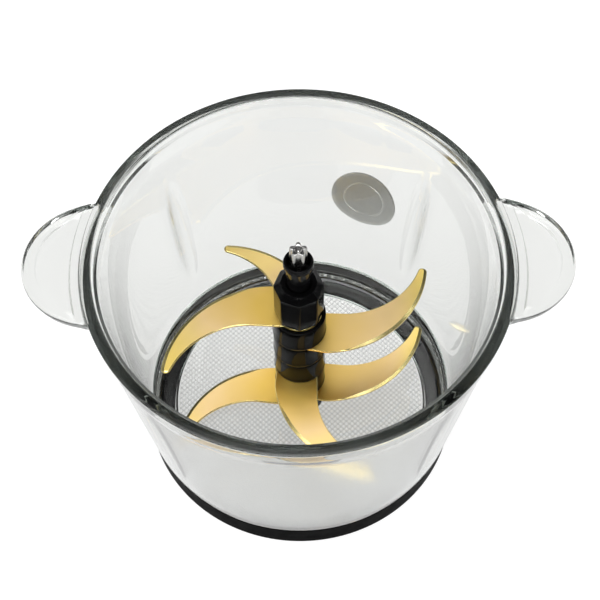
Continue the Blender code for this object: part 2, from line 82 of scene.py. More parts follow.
# ---- mesh helpers ------------------------------------------------------------------------------------
def make_object(name, verts, faces, material, sharp=None):
    """A mesh object from points in millimetres. sharp is the angle in degrees above which an edge stays crisp."""
    mesh = bpy.data.meshes.new(name)
    mesh.from_pydata((np.asarray(verts, float) * MM).tolist(), [], faces)
    work = bmesh.new()
    work.from_mesh(mesh)
    bmesh.ops.remove_doubles(work, verts=work.verts, dist=0.0000015)
    bmesh.ops.dissolve_degenerate(work, edges=work.edges, dist=0.0000005)
    bmesh.ops.recalc_face_normals(work, faces=work.faces)
    work.to_mesh(mesh)
    work.free()
    mesh.shade_smooth()
    if sharp is not None:
        mesh.set_sharp_from_angle(angle=math.radians(sharp))
    obj = bpy.data.objects.new(name, mesh)
    bpy.context.scene.collection.objects.link(obj)
    mesh.materials.append(material)
    return obj


def sweep(corners, closed=False):
    """Points along a section with rounded corners, for many columns at once.
    A corner is (x, y, radius, arc steps, steps on the way to the next corner); x, y and radius may be arrays."""
    size = max(np.size(v) for c in corners for v in c[:2])
    at = [
        np.stack([np.broadcast_to(np.asarray(v, float), (size,)) for v in c[:2]], 1)
        for c in corners
    ]
    count = len(corners)
    runs = []
    for i, (_, _, radius, steps, _) in enumerate(corners):
        ends = not closed and i in (0, count - 1)
        if ends or steps == 0:
            runs.append([at[i]])
            continue
        radius = np.broadcast_to(np.reshape(np.asarray(radius, float), (-1, 1)), (size, 1))
        a = at[i - 1] - at[i]
        b = at[(i + 1) % count] - at[i]
        la = np.maximum(np.linalg.norm(a, axis=1, keepdims=True), 1e-6)
        lb = np.maximum(np.linalg.norm(b, axis=1, keepdims=True), 1e-6)
        ua, ub = a / la, b / lb
        half = 0.5 * np.arccos(np.clip((ua * ub).sum(1, keepdims=True), -1, 1))
        reach = np.maximum(radius / np.tan(np.maximum(half, 0.02)), 0.4 * radius)
        reach = np.minimum(reach, np.minimum(0.47 * la, 0.47 * lb))
        weight = np.sin(half)
        p0, p2 = at[i] + ua * reach, at[i] + ub * reach
        run = []
        for s in np.linspace(0, 1, steps + 1):
            k0, k1, k2 = (1 - s) ** 2, 2 * s * (1 - s) * weight, s * s
            run.append((k0 * p0 + k1 * at[i] + k2 * p2) / (k0 + k1 + k2))
        runs.append(run)
    rows = []
    for i in range(count):
        rows += runs[i]
        if i + 1 < count or closed:
            start, end = runs[i][-1], runs[(i + 1) % count][0]
            for s in range(1, corners[i][4]):
                rows.append(start + (end - start) * (s / corners[i][4]))
    return np.stack(rows)


def grid_faces(rows, columns, wrap_rows=False, wrap_columns=True, first=0):
    faces = []
    for i in range(rows if wrap_rows else rows - 1):
        a, b = first + i * columns, first + ((i + 1) % rows) * columns
        for j in range(columns if wrap_columns else columns - 1):
            k = (j + 1) % columns
            faces.append((a + j, a + k, b + k, b + j))
    return faces


def turned(name, corners, material, steps=128, closed=True, sharp=32.0):
    """A turned piece from a rounded section of (radius, height) corners. An open section starts and ends on the axis."""
    section = sweep(corners, closed)[:, 0, :]
    angles = np.arange(steps) * TAU / steps
    verts = np.zeros((len(section), steps, 3))
    verts[..., 0] = section[:, :1] * np.cos(angles)
    verts[..., 1] = section[:, :1] * np.sin(angles)
    verts[..., 2] = section[:, 1:]
    faces = grid_faces(len(section), steps, wrap_rows=closed)
    return make_object(name, verts.reshape(-1, 3), faces, material, sharp)


def corner(x, y, radius=0.0, steps=0, way=1):
    return (x, y, radius, steps, way)


# ---- material helpers --------------------------------------------------------------------------------
class Nodes:
    def __init__(self, name):
        self.material = bpy.data.materials.new(name)
        self.material.use_nodes = True
        self.tree = self.material.node_tree
        self.shader = self.tree.nodes["Principled BSDF"]
        self.output = self.tree.nodes["Material Output"]

    def add(self, kind, **values):
        node = self.tree.nodes.new(kind)
        for key, value in values.items():
            setattr(node, key, value)
        return node

    def link(self, a, b):
        self.tree.links.new(a, b)

    def set(self, **values):
        for key, value in values.items():
            self.shader.inputs[key.replace("_", " ")].default_value = value

    def place(self, scale=(1, 1, 1), kind="Object"):
        spot = self.add("ShaderNodeTexCoord")
        map_ = self.add("ShaderNodeMapping")
        map_.inputs["Scale"].default_value = scale
        self.link(spot.outputs[kind], map_.inputs["Vector"])
        return map_.outputs["Vector"]

    def noise(self, scale, detail=3.0, rough=0.5, stretch=(1, 1, 1)):
        n = self.add("ShaderNodeTexNoise")
        n.inputs["Scale"].default_value = scale
        n.inputs["Detail"].default_value = detail
        n.inputs["Roughness"].default_value = rough
        self.link(self.place(stretch), n.inputs["Vector"])
        return n.outputs["Fac"]

    def remap(self, value, low, high, from_low=0.3, from_high=0.7):
        m = self.add("ShaderNodeMapRange")
        m.inputs["From Min"].default_value = from_low
        m.inputs["From Max"].default_value = from_high
        m.inputs["To Min"].default_value = low
        m.inputs["To Max"].default_value = high
        self.link(value, m.inputs["Value"])
        return m.outputs["Result"]

    def ramp(self, value, stops):
        r = self.add("ShaderNodeValToRGB")
        band = r.color_ramp
        while len(band.elements) < len(stops):
            band.elements.new(0.5)
        for element, (at, colour) in zip(band.elements, stops):
            element.position = at
            element.color = (*colour, 1.0)
        self.link(value, r.inputs["Fac"])
        return r.outputs["Color"]

    def bump(self, value, strength, distance):
        b = self.add("ShaderNodeBump")
        b.inputs["Strength"].default_value = strength
        b.inputs["Distance"].default_value = distance
        self.link(value, b.inputs["Height"])
        self.link(b.outputs["Normal"], self.shader.inputs["Normal"])
        return b


def glass_material():
    """Clear glass with a faint grey body; the moulded outside of the wall is a little misty."""
    n = Nodes("clear_pressed_glass")
    n.set(Transmission_Weight=1.0, IOR=1.5)
    spot = n.add("ShaderNodeTexCoord").outputs["Object"]
    parts = n.add("ShaderNodeSeparateXYZ")
    n.link(spot, parts.inputs["Vector"])
    flat = n.add("ShaderNodeVectorMath", operation="MULTIPLY")
    n.link(spot, flat.inputs[0])
    flat.inputs[1].default_value = (1.0, 1.0, 0.0)
    radius = n.add("ShaderNodeVectorMath", operation="LENGTH")
    n.link(flat.outputs["Vector"], radius.inputs[0])
    # distance outside the middle of the wall, in metres
    middle = n.add("ShaderNodeMath", operation="MULTIPLY_ADD")
    n.link(parts.outputs["Z"], middle.inputs[0])
    middle.inputs[1].default_value = WALL_SLOPE
    middle.inputs[2].default_value = (WALL_LOW_R - 0.5 * WALL_T - WALL_SLOPE * WALL_LOW_Z) * MM
    off = n.add("ShaderNodeMath", operation="SUBTRACT")
    n.link(radius.outputs["Value"], off.inputs[0])
    n.link(middle.outputs[0], off.inputs[1])
    outside = n.remap(off.outputs[0], 0.0, 1.0, 0.0008, 0.0016)
    below_lip = n.remap(parts.outputs["Z"], 1.0, 0.0, 0.112, 0.1165)
    above_foot = n.remap(parts.outputs["Z"], 0.0, 1.0, 0.0165, 0.019)
    mist = n.add("ShaderNodeMath", operation="MULTIPLY")
    n.link(outside, mist.inputs[0])
    n.link(below_lip, mist.inputs[1])
    mist2 = n.add("ShaderNodeMath", operation="MULTIPLY")
    n.link(mist.outputs[0], mist2.inputs[0])
    n.link(above_foot, mist2.inputs[1])
    rough = n.add("ShaderNodeMath", operation="MULTIPLY_ADD")
    n.link(mist2.outputs[0], rough.inputs[0])
    rough.inputs[1].default_value = MIST
    n.link(n.remap(n.noise(9, 2), 0.0, 0.008), rough.inputs[2])
    n.link(rough.outputs[0], n.shader.inputs["Roughness"])
    n.bump(n.noise(24, 2, 0.4, (1, 1, 0.45)), 0.02, 0.0004)

    # painted shade: the glass's colour is darkened in the grooves between the floor's bumps, on the underside only
    def groove(turn):
        along = n.add("ShaderNodeVectorMath", operation="DOT_PRODUCT")
        n.link(spot, along.inputs[0])
        along.inputs[1].default_value = (math.cos(turn), math.sin(turn), 0.0)
        turns = n.add("ShaderNodeMath", operation="MULTIPLY")
        n.link(along.outputs["Value"], turns.inputs[0])
        turns.inputs[1].default_value = math.pi / (BUMP_PITCH * MM)
        sine = n.add("ShaderNodeMath", operation="SINE")
        n.link(turns.outputs[0], sine.inputs[0])
        size = n.add("ShaderNodeMath", operation="ABSOLUTE")
        n.link(sine.outputs[0], size.inputs[0])
        return size.outputs[0]

    both = n.add("ShaderNodeMath", operation="MULTIPLY")
    n.link(groove(math.radians(45)), both.inputs[0])
    n.link(groove(math.radians(135)), both.inputs[1])
    # painted shade: the tint falls to its darkest value in the grooves between the bumps
    tone = n.remap(both.outputs[0], GROOVE_PAINTED_SHADE, 1.0, 0.0, 0.6)
    under = n.remap(parts.outputs["Z"], 1.0, 0.0, 0.0041, 0.0045)
    within = n.remap(radius.outputs["Value"], 1.0, 0.0, 0.0585, 0.0590)
    here = n.add("ShaderNodeMath", operation="MULTIPLY")
    n.link(under, here.inputs[0])
    n.link(within, here.inputs[1])
    tint = n.add("ShaderNodeMix", data_type="RGBA", blend_type="MULTIPLY")
    n.link(here.outputs[0], tint.inputs["Factor"])
    body, by = (s for s in tint.inputs if s.type == "RGBA")
    n.link(
        n.ramp(
            n.remap(radius.outputs["Value"], 0.0, 1.0, 0.0905, 0.0915),
            [(0.0, GLASS_TINT), (1.0, EAR_TINT)],
        ),
        body,
    )
    n.link(tone, by)
    n.link(next(s for s in tint.outputs if s.type == "RGBA"), n.shader.inputs["Base Color"])
    soak = n.add("ShaderNodeVolumeAbsorption")
    soak.inputs["Color"].default_value = (0.45, 0.56, 0.50, 1.0)
    soak.inputs["Density"].default_value = SOAK
    n.link(soak.outputs["Volume"], n.output.inputs["Volume"])
    return n.material


def silicone_material():
    n = Nodes("black_silicone")
    n.set(Specular_IOR_Level=0.004)
    n.link(
        n.ramp(n.noise(55, 4), [(0.3, (0.0012, 0.0012, 0.0013)), (0.7, (0.0024, 0.0024, 0.0026))]),
        n.shader.inputs["Base Color"],
    )
    n.link(n.remap(n.noise(240, 3), 0.36, 0.5), n.shader.inputs["Roughness"])
    n.bump(n.noise(2600, 2), 0.10, 0.00006)
    return n.material


def black_material(name, specular, low, high):
    n = Nodes(name)
    n.set(Specular_IOR_Level=specular)
    n.link(
        n.ramp(n.noise(70, 3), [(0.3, (0.0025, 0.0025, 0.0028)), (0.7, (0.0045, 0.0045, 0.0048))]),
        n.shader.inputs["Base Color"],
    )
    n.link(n.remap(n.noise(160, 3), low, high), n.shader.inputs["Roughness"])
    n.bump(n.noise(300, 2), 0.02, 0.0001)
    return n.material


def gold_material():
    """Gold-coloured coating whose colour runs from orange at the hub to yellow at the tip; the peach band mid-blade
    is a painted warm reflection.
    """
    n = Nodes("gold_coated_steel")
    n.set(Metallic=1.0)
    spot = n.add("ShaderNodeTexCoord").outputs["Object"]
    flat = n.add("ShaderNodeVectorMath", operation="MULTIPLY")
    n.link(spot, flat.inputs[0])
    flat.inputs[1].default_value = (1.0, 1.0, 0.0)
    radius = n.add("ShaderNodeVectorMath", operation="LENGTH")
    n.link(flat.outputs["Vector"], radius.inputs[0])
    share = n.remap(radius.outputs["Value"], 0.0, 1.0, 0.010, 0.066)
    drift = n.remap(n.noise(32, 2, 0.4), -0.16, 0.16, 0.3, 0.7)
    total = n.add("ShaderNodeMath", operation="ADD", use_clamp=True)
    n.link(share, total.inputs[0])
    n.link(drift, total.inputs[1])
    # painted reflection: the peach stops in the middle of the ramp stand in for a warm light's reflection
    n.link(
        n.ramp(
            total.outputs[0],
            [
                (0.02, (0.88, 0.60, 0.14)),
                (0.30, (0.92, 0.65, 0.24)),
                (0.52, (0.96, 0.70, 0.34)),
                (0.76, (0.94, 0.71, 0.27)),
                (1.00, (0.90, 0.68, 0.19)),
            ],
        ),
        n.shader.inputs["Base Color"],
    )
    n.link(n.remap(n.noise(140, 2, 0.5, (1, 3, 1)), 0.33, 0.37), n.shader.inputs["Roughness"])
    n.bump(n.noise(300, 2, 0.5, (1, 4, 1)), 0.01, 0.00001)
    return n.material


def edge_material():
    n = Nodes("gold_ground_edge")
    n.set(Metallic=1.0)
    n.link(
        n.ramp(n.noise(60, 3), [(0.25, (0.93, 0.77, 0.30)), (0.75, (0.98, 0.85, 0.40))]),
        n.shader.inputs["Base Color"],
    )
    n.link(n.remap(n.noise(700, 3, 0.6, (3, 3, 1)), 0.16, 0.26), n.shader.inputs["Roughness"])
    n.bump(n.noise(1800, 2, 0.6), 0.03, 0.00002)
    return n.material


def steel_material(name="turned_steel", low=0.16, high=0.3, tone=0.62):
    n = Nodes(name)
    n.set(Metallic=1.0)
    n.link(
        n.ramp(
            n.noise(120, 3),
            [(0.3, (tone * 0.93, tone * 0.92, tone * 0.9)), (0.7, (tone, tone * 0.99, tone * 0.97))],
        ),
        n.shader.inputs["Base Color"],
    )
    n.link(n.remap(n.noise(500, 3, 0.6, (1, 1, 6)), low, high), n.shader.inputs["Roughness"])
    n.bump(n.noise(1400, 2, 0.6, (0.3, 0.3, 5)), 0.05, 0.00003)
    return n.material


def seal_material():
    n = Nodes("grey_seal_rubber")
    n.link(
        n.ramp(n.noise(180, 3), [(0.3, (0.30, 0.30, 0.29)), (0.7, (0.37, 0.37, 0.36))]),
        n.shader.inputs["Base Color"],
    )
    n.link(n.remap(n.noise(500, 3), 0.5, 0.65), n.shader.inputs["Roughness"])
    n.bump(n.noise(2600, 2), 0.15, 0.00006)
    return n.material


def bronze_material():
    n = Nodes("sintered_bronze")
    n.set(Metallic=1.0)
    n.link(
        n.ramp(n.noise(900, 4), [(0.3, (0.38, 0.24, 0.11)), (0.7, (0.50, 0.34, 0.17))]),
        n.shader.inputs["Base Color"],
    )
    n.link(n.remap(n.noise(1500, 3), 0.3, 0.48), n.shader.inputs["Roughness"])
    n.bump(n.noise(5000, 2), 0.2, 0.00004)
    return n.material


def badge_face_material():
    n = Nodes("grey_badge_face")
    n.link(
        n.ramp(n.noise(150, 4), [(0.3, (0.26, 0.265, 0.26)), (0.7, (0.33, 0.335, 0.33))]),
        n.shader.inputs["Base Color"],
    )
    n.link(n.remap(n.noise(500, 3), 0.36, 0.46), n.shader.inputs["Roughness"])
    n.bump(n.noise(3000, 2), 0.08, 0.00005)
    return n.material


def badge_material(name="grey_badge_foil_painted_glow", tone=0.88, rough=0.33, lift=0.08):
    n = Nodes(name)
    # painted glow: the foil emits a little white light, set by lift, so it reads brighter than its lighting makes it
    n.set(Metallic=0.9, Emission_Color=(1.0, 1.0, 1.0, 1.0), Emission_Strength=lift)
    n.link(
        n.ramp(n.noise(150, 4), [(0.3, (tone,) * 3), (0.7, (tone * 1.08,) * 3)]),
        n.shader.inputs["Base Color"],
    )
    n.link(n.remap(n.noise(500, 3), rough, rough + 0.09), n.shader.inputs["Roughness"])
    n.bump(n.noise(3000, 2), 0.08, 0.00005)
    return n.material


MIST = 0.14  # roughness of the wall's outside
SOAK = 8.0  # density of the glass's own grey
GLASS_TINT = (0.815, 0.820, 0.806)
EAR_TINT = (0.80, 0.805, 0.79)
# painted shade in the grooves under the floor
GROOVE_PAINTED_SHADE = 0.55
GLASS = glass_material()
SILICONE = silicone_material()
BLACK = black_material("gloss_black_plastic", 0.07, 0.07, 0.12)
SATIN = black_material("satin_black_plastic", 0.09, 0.07, 0.12)
GOLD = gold_material()
EDGE = edge_material()
STEEL = steel_material()
SPLINE_STEEL = steel_material("drive_steel", 0.18, 0.28, 0.55)
SEAL = seal_material()
BRONZE = bronze_material()
BADGE = badge_face_material()
GLOWING_BADGE_BACK = badge_material()
GLOWING_BADGE_BAND = badge_material("pale_badge_band_painted_glow", 0.90, 0.30, 0.12)


# ---- the glass bowl ----------------------------------------------------------------------------------
def meeting(ax, ay, ar, bx, by, br, side):
    dx, dy = bx - ax, by - ay
    d = math.hypot(dx, dy)
    along = (ar * ar - br * br + d * d) / (2 * d)
    across = math.sqrt(max(ar * ar - along * along, 0.0)) * side
    return (ax + (along * dx - across * dy) / d, ay + (along * dy + across * dx) / d)


def ear_columns():
    """The +X ear's outline from its lower root to its upper one: points, and normals that point out of the glass."""
    f = 8.0
    fx, fy = meeting(0, 0, RIM_OUT + f, EAR_X, 0, EAR_R + f, 1)
    start = math.atan2(fy, fx) + math.pi  # from the fillet's centre towards the rim
    end = math.atan2(-fy, EAR_X - fx)
    if end < 0:
        end += TAU
    fillet, fillet_n = [], []
    for t in np.linspace(0, 1, 11):
        a = start + (end - start) * t
        fillet.append((fx + f * math.cos(a), fy + f * math.sin(a)))
        fillet_n.append((-math.cos(a), -math.sin(a)))
    on_ear = fillet[-1]
    top = math.atan2(on_ear[1], on_ear[0] - EAR_X)
    tab, tab_n = [], []
    for t in np.linspace(0, 1, 69)[1:-1]:
        a = top - 2 * top * t
        tab.append((EAR_X + EAR_R * math.cos(a), EAR_R * math.sin(a)))
        tab_n.append((math.cos(a), math.sin(a)))
    points = fillet + tab + [(x, -y) for x, y in reversed(fillet)]
    normals = fillet_n + tab_n + [(x, -y) for x, y in reversed(fillet_n)]
    return np.array(points[::-1]), np.array(normals[::-1])


def bowl_columns():
    """Azimuth, outline point and outline normal of each column of the bowl's mesh."""
    points, normals = ear_columns()
    azimuth = np.arctan2(points[:, 1], points[:, 0])
    reach = azimuth[-1]
    free = [math.degrees(reach)]
    angle = math.degrees(reach)
    marks = []
    while True:
        near = abs(angle - 45.0) < 6.5 or abs(angle - 135.0) < 6.5
        angle += 0.75 if near else 1.6
        if angle > 180 - math.degrees(reach) - 0.7:
            break
        marks.append(angle)
    marks = np.radians(np.array(marks))
    columns = [(a, p, m) for a, p, m in zip(azimuth, points, normals)]
    columns += [(a, None, None) for a in marks]
    columns += [
        (math.pi + a, (-p[0], -p[1]), (-m[0], -m[1]))
        for a, p, m in zip(azimuth, points, normals)
    ]
    columns += [(math.pi + a, None, None) for a in marks]
    az, out, nrm = [], [], []
    for a, p, m in columns:
        az.append(a)
        direction = np.array([math.cos(a), math.sin(a)])
        out.append(direction * RIM_OUT if p is None else np.array(p))
        nrm.append(direction if m is None else np.array(m))
    return np.array(az), np.array(out), np.array(nrm)


def make_bowl():
    az, out, nrm = bowl_columns()
    count = len(az)
    direction = np.stack([np.cos(az), np.sin(az)], 1)
    rim = direction * RIM_OUT
    gap = np.linalg.norm(out - rim, axis=1)
    bend = out - nrm * (0.45 * gap)[:, None]
    # length along each column's way from the rim to the outline
    fine = np.linspace(0, 1, 65)[:, None, None]
    way = (1 - fine) ** 2 * rim + 2 * fine * (1 - fine) * bend + fine**2 * out
    lengths = np.concatenate(
        [np.zeros((1, count)), np.cumsum(np.linalg.norm(np.diff(way, axis=0), axis=2), 0)]
    )
    total = lengths[-1]
    tip = RIM_OUT + total

    def plan(r):
        """Where a row of generalised radii lies: straight out to the rim, then along each column's way."""
        placed = direction * np.minimum(r, RIM_OUT)[:, None]
        past = np.clip(r - RIM_OUT, 0, None)
        for j in np.nonzero((past > 1e-9) & (total > 1e-6))[0]:
            w = past[j]
            placed[j, 0] = np.interp(w, lengths[:, j], way[:, j, 0])
            placed[j, 1] = np.interp(w, lengths[:, j], way[:, j, 1])
        return placed

    # how far along the ear's dip starts and ends
    dip_in = np.full(count, RIM_OUT + 4.0)
    for j in np.nonzero(total > 0.5)[0]:
        far = np.linalg.norm(way[:, j], axis=1)
        dip_in[j] = RIM_OUT + np.interp(94.4, far, lengths[:, j])
    span = tip - (RIM_OUT + 0.2)
    dip_in = np.minimum(dip_in, RIM_OUT + 0.2 + 0.42 * span)
    dip_out = np.maximum(tip - 6.2, RIM_OUT + 0.2 + 0.62 * span)
    depth = 1.45 * smoothstep((dip_out - dip_in - 1.0) / 3.5)
    slant = 0.38 * np.minimum(1.0, 0.25 * (dip_out - dip_in))
    w = smoothstep(total / 3.2)

    def mix(plain, ear):
        return plain * (1 - w) + ear * w

    def lip(z):
        return RIM_OUT - 0.6 + 0.0908 * (z - 121.5)

    low = EAR_TOP - EAR_T
    corners = [
        corner(59.3, RECESS_Z),
        corner(59.5, RECESS_Z, 0.12, 2),
        corner(60.5, FOOT_Z, 0.15, 2, 3),
        corner(70.8, FOOT_Z, 2.3, 6, 4),
        corner(71.15, WALL_LOW_Z, 0.5, 4),
        corner(WALL_LOW_R - 0.05, WALL_LOW_Z, 0.6, 4, 12),
        corner(wall_outer(112), 112.0, 60.0, 3, 1),
        corner(wall_outer(115.5) + 0.2, 115.5, 0.3, 3, 3),
        corner(mix(lip(121.5), lip(121.5) + 0.05), mix(121.5, low), mix(0.3, 2.8), 6, 2),
        corner(mix(lip(124.0), tip - 1.3), mix(124.0, low), mix(0.3, 0.45), 5),
        corner(mix(lip(124.8), tip), mix(124.8, EAR_TOP), mix(0.6, 1.3), 7, 2),
        corner(mix(lip(125.3), dip_out + slant), mix(125.3, EAR_TOP), 0.45, 4),
        corner(mix(lip(125.7), dip_out - slant), mix(125.7, EAR_TOP - depth), 0.45, 4, 5),
        corner(mix(lip(126.0), dip_in + slant), mix(126.0, EAR_TOP - depth), 0.45, 4),
        corner(mix(lip(126.3), dip_in - slant), mix(126.3, EAR_TOP), 0.45, 4),
        corner(mix(lip(126.7), RIM_OUT + 0.15), mix(126.7, EAR_TOP), 0.5, 3),
        corner(RIM_OUT, RIM_TOP, 0.45, 6, 3),
        corner(RIM_IN, RIM_TOP, 2.0, 8),
        corner(RIM_IN - 0.57, 125.5, 0.15, 2),
        corner(wall_inner(117.5) - 0.04, 124.65, 0.3, 3, 3),
        corner(wall_inner(117.5), 117.5, 4.0, 2, 29),
        corner(wall_inner(FLOOR_TOP), FLOOR_TOP, 3.0, 9, 6),
        corner(30.0, FLOOR_TOP, 0, 0, 3),
        corner(11.0, FLOOR_TOP, 0, 0, 2),
        corner(3.8, FLOOR_TOP, 0.35, 3, 1),
        corner(3.8, 5.4, 0.3, 3, 1),
        corner(8.95, 5.4, 0.3, 3, 1),
        corner(9.3, RECESS_Z, 0.4, 3, 1),
        corner(10.3, RECESS_Z),
    ]
    section = sweep(corners)  # rows, columns, (r, z)
    rows = len(section)
    # ribs stand out of the inner wall
    lean = math.atan(WALL_SLOPE)
    for i in range(rows):
        z = section[i, :, 1]
        r = section[i, :, 0]
        inside = (np.abs(r - wall_inner(z)) < 0.6) & (z > 20) & (z < 116)
        if not inside.any():
            continue
        for angle in (45, 135, 225, 315):
            off = (az - math.radians(angle) + math.pi) % TAU - math.pi
            across = off * r
            along = (z - 68.0) / math.cos(lean)
            u = (across / 5.3) ** 2 + np.abs(along / 35.5) ** 3
            raised = 2.2 * np.clip(1 - u, 0, None)
            section[i, :, 0] -= np.where(inside, raised, 0)
    verts = np.zeros((rows, count, 3))
    for i in range(rows):
        verts[i, :, :2] = plan(section[i, :, 0])
        verts[i, :, 2] = section[i, :, 1]
    # the moulding dot in the middle of one ear's dip
    spot = np.array([101.5, 4.5])
    for i in range(rows):
        near = np.hypot(verts[i, :, 0] - spot[0], verts[i, :, 1] - spot[1])
        top = verts[i, :, 2] > 124.5
        verts[i, :, 2] += np.where(top & (near < 2.6), 0.35 * (1 - (near / 2.6) ** 2), 0)
    points = verts.reshape(-1, 3)
    faces = grid_faces(rows, count)

    # patterned underside of the floor: rows of small round bumps on a slanted lattice
    pitch, part = BUMP_PITCH, 3
    step = pitch / part
    half_cells = int(60 / pitch) + 2
    n = 2 * half_cells * part + 1
    axis = (np.arange(n) - half_cells * part) * step
    gx, gy = np.meshgrid(axis, axis, indexing="ij")
    turn = math.radians(45)
    px = gx * math.cos(turn) - gy * math.sin(turn)
    py = gx * math.sin(turn) + gy * math.cos(turn)
    cell = (n - 1) // part
    keep = np.zeros((cell, cell), bool)
    for i in range(cell):
        for j in range(cell):
            block = np.hypot(
                px[i * part : i * part + part + 1, j * part : j * part + part + 1],
                py[i * part : i * part + part + 1, j * part : j * part + part + 1],
            )
            keep[i, j] = block.max() < 58.8 and block.min() > 11.2
    wave = np.abs(np.sin(math.pi * gx / pitch)) * np.abs(np.sin(math.pi * gy / pitch))
    height = BUMP_HEIGHT * wave
    index = -np.ones((n, n), int)
    base = len(points)
    extra = []
    bump_faces = []
    for i in range(cell):
        for j in range(cell):
            if not keep[i, j]:
                continue
            for a in range(part + 1):
                for b in range(part + 1):
                    x, y = i * part + a, j * part + b
                    if index[x, y] < 0:
                        index[x, y] = base + len(extra)
                        extra.append((px[x, y], py[x, y], RECESS_Z - height[x, y]))
            for a in range(part):
                for b in range(part):
                    x, y = i * part + a, j * part + b
                    bump_faces.append(
                        (index[x, y], index[x, y + 1], index[x + 1, y + 1], index[x + 1, y])
                    )
    # the lattice's outline, joined to the two round edges of the grid
    seen = {}
    for f in bump_faces:
        for a, b in zip(f, f[1:] + f[:1]):
            key = (min(a, b), max(a, b))
            seen[key] = seen.get(key, 0) + 1
    border = [e for e, times in seen.items() if times == 1]
    all_points = np.vstack([points, np.array(extra)])
    outer = list(range(count))
    inner = list(range((rows - 1) * count, rows * count))
    used = sorted(set(outer) | set(inner) | {v for e in border for v in e})
    local = {v: k for k, v in enumerate(used)}
    edges = [(local[a], local[b]) for a, b in border]
    for loop in (outer, inner):
        edges += [(local[a], local[b]) for a, b in zip(loop, loop[1:] + loop[:1])]
    flat = [Vector(all_points[v, :2]) for v in used]
    _, _, cells, source, _, _ = delaunay_2d_cdt(flat, edges, [], 0, 1e-7)
    joined = []
    filled = {}
    for i in range(cell):
        for j in range(cell):
            if keep[i, j]:
                filled[(i, j)] = True
    cos_t, sin_t = math.cos(-turn), math.sin(-turn)
    middle = set(inner)
    for tri in cells:
        ids = [used[source[v][0]] for v in tri]
        mid = all_points[ids, :2].mean(0)
        r = math.hypot(*mid)
        if r > 59.35 or middle.issuperset(ids):
            continue
        lx = mid[0] * cos_t - mid[1] * sin_t
        ly = mid[0] * sin_t + mid[1] * cos_t
        ci = int(math.floor(lx / pitch)) + half_cells
        cj = int(math.floor(ly / pitch)) + half_cells
        if filled.get((ci, cj)):
            continue
        joined.append(tuple(ids))
    obj = make_object(
        "bowl_glass", all_points, faces + bump_faces + joined, GLASS, sharp=40.0
    )
    return obj


# ---- foot ring ---------------------------------------------------------------------------------------
def make_ring():
    section = [
        corner(61.6, 0.0, 0.4, 3, 1),
        corner(62.8, 0.0, 0.2, 2, 1),
        corner(63.2, 0.35, 0.2, 2, 1),
        corner(64.6, 0.35, 0.2, 2, 1),
        corner(65.0, 0.0, 0.2, 2, 1),
        corner(66.6, 0.0, 0.2, 2, 1),
        corner(67.0, 0.35, 0.2, 2, 1),
        corner(68.4, 0.35, 0.2, 2, 1),
        corner(68.8, 0.0, 0.2, 2, 1),
        corner(72.95, 0.0, 1.1, 6, 10),
        corner(74.0, 16.0, 0.75, 6, 2),
        corner(71.7, 16.0, 0.3, 3, 1),
        corner(71.45, 15.5, 0.3, 3, 6),
        corner(71.15, 4.6, 1.2, 3, 1),
        corner(69.6, 2.42, 1.2, 4, 4),
        corner(61.1, 2.4, 0.4, 4, 1),
        corner(61.1, 0.5, 0.4, 3, 1),
    ]
    return turned("foot_ring", section, SILICONE, steps=256, sharp=40)


# ---- badge -------------------------------------------------------------------------------------------
def make_badge():
    lean = math.atan(WALL_SLOPE)
    turn = math.radians(BADGE_AZ)
    # height of the face over the wall at each radius: plain rings in low relief
    rings = [
        (0.0, 0.55),
        (3.2, 0.55),
        (3.45, 0.46),
        (9.6, 0.46),
        (9.85, 0.66),
        (10.75, 0.66),
        (11.0, 0.46),
        (14.9, 0.46),
        (15.2, 0.70),
        (16.2, 0.70),
        (16.6, 0.45),
        (16.6, 0.05),
        (16.4, 0.0),
        (10.75, 0.0),
        (10.6, 0.14),
        (9.95, 0.14),
        (9.8, 0.0),
        (0.0, 0.0),
    ]
    dense = []
    for (r0, h0), (r1, h1) in zip(rings, rings[1:]):
        parts = max(1, int(round(math.hypot(r1 - r0, h1 - h0) / 1.3)))
        for k in range(parts):
            dense.append((r0 + (r1 - r0) * k / parts, h0 + (h1 - h0) * k / parts))
    dense.append(rings[-1])
    steps = 96
    angles = np.arange(steps) * TAU / steps
    verts = []
    for r, h in dense:
        for a in angles:
            side, up = r * math.cos(a), r * math.sin(a)
            z = BADGE_Z + up * math.cos(lean)
            radius = wall_outer(z)
            azimuth = turn + side / radius
            out = radius + (0.3 + h * BADGE_T / 0.7) / math.cos(lean)
            verts.append((out * math.cos(azimuth), out * math.sin(azimuth), z))
    faces = grid_faces(len(dense), steps)
    obj = make_object("badge_disc", verts, faces, BADGE, sharp=35)
    obj.data.materials.append(GLOWING_BADGE_BACK)
    obj.data.materials.append(GLOWING_BADGE_BAND)
    # the side that faces the glass is foil with a painted glow, and two rings paler than the field round them,
    # partly by a slightly lighter tone and partly by a stronger painted glow
    for face in obj.data.polygons:
        at = np.mean([obj.data.vertices[v].co for v in face.vertices], 0) / MM
        up = (at[2] - BADGE_Z) / math.cos(lean)
        side = (math.atan2(at[1], at[0]) - turn) * wall_outer(at[2])
        far = math.hypot(side, up)
        height = math.hypot(at[0], at[1]) - wall_outer(at[2]) - 0.3 / math.cos(lean)
        if height < 0.2:
            face.material_index = 2 if 9.7 < far < 10.9 or far > 15.1 else 1
    return obj


